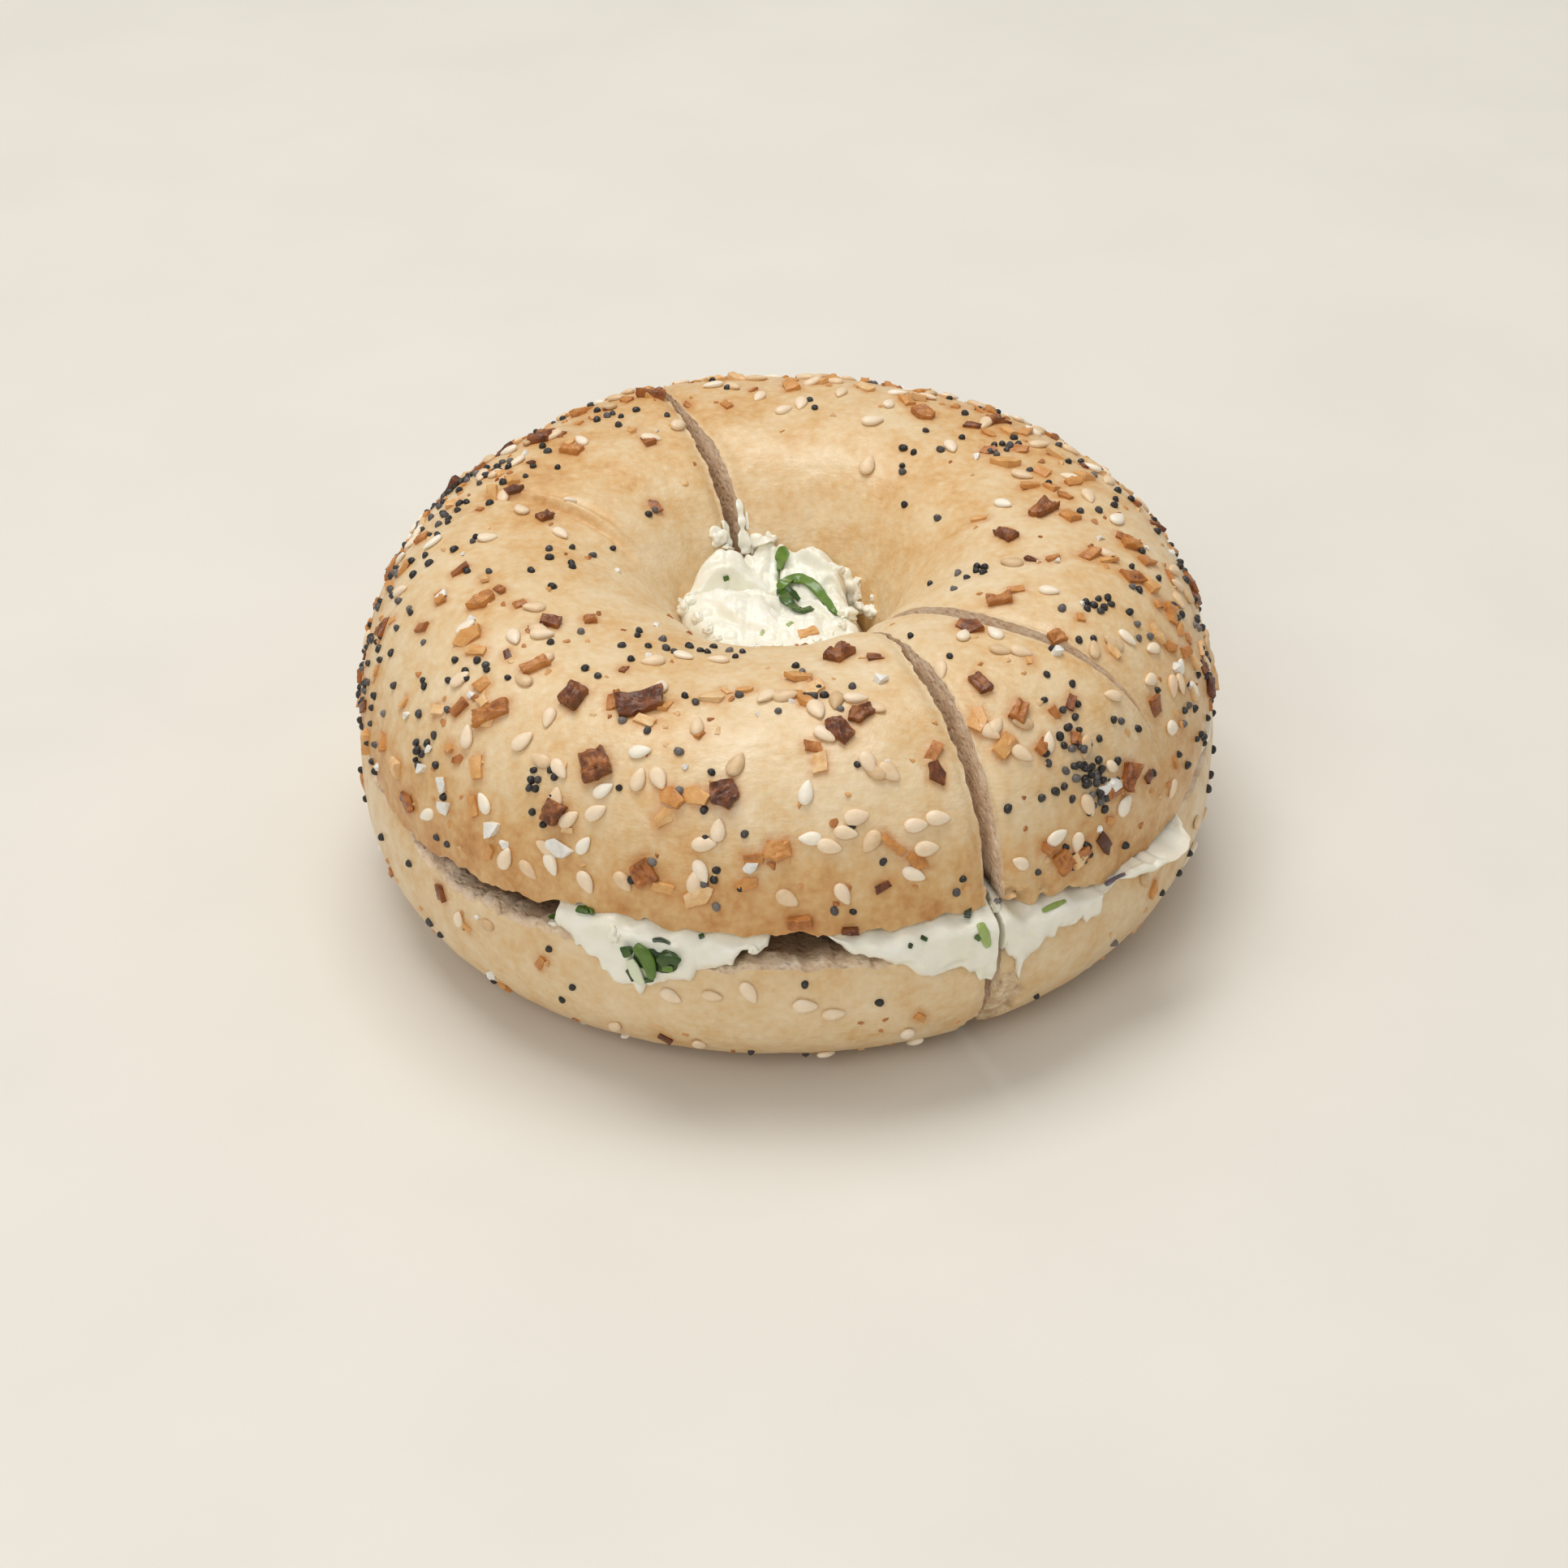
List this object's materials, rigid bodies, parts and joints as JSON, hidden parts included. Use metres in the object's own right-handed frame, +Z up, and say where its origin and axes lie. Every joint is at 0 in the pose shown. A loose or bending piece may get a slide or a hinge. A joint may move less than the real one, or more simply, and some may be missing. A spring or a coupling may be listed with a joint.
{
  "type": "bagel with cream cheese",
  "caption": "Seeded bagel sliced level, filled with scallion cream cheese and cut in two across the ring.",
  "frame": {"origin": "on the flat base, under the middle of the whole, about a millimetre from the hole's axis", "axes": "+Z up through the hole, -Y towards the front where most cream shows, +X to the right seen from the front"},
  "size_m": [0.1132, 0.1168, 0.0493],
  "materials": {
    "top_crust": "baked bread crust, slightly glossy, with seeds",
    "bottom_crust": "pale baked bread crust",
    "cream": "soft whipped cream cheese"
  },
  "bodies": {
    "root": {"top_left": "top_crust", "top_right": "top_crust", "cream_cheese": "cream", "bottom_left": "bottom_crust", "bottom_right": "bottom_crust"}
  },
  "joints": []
}
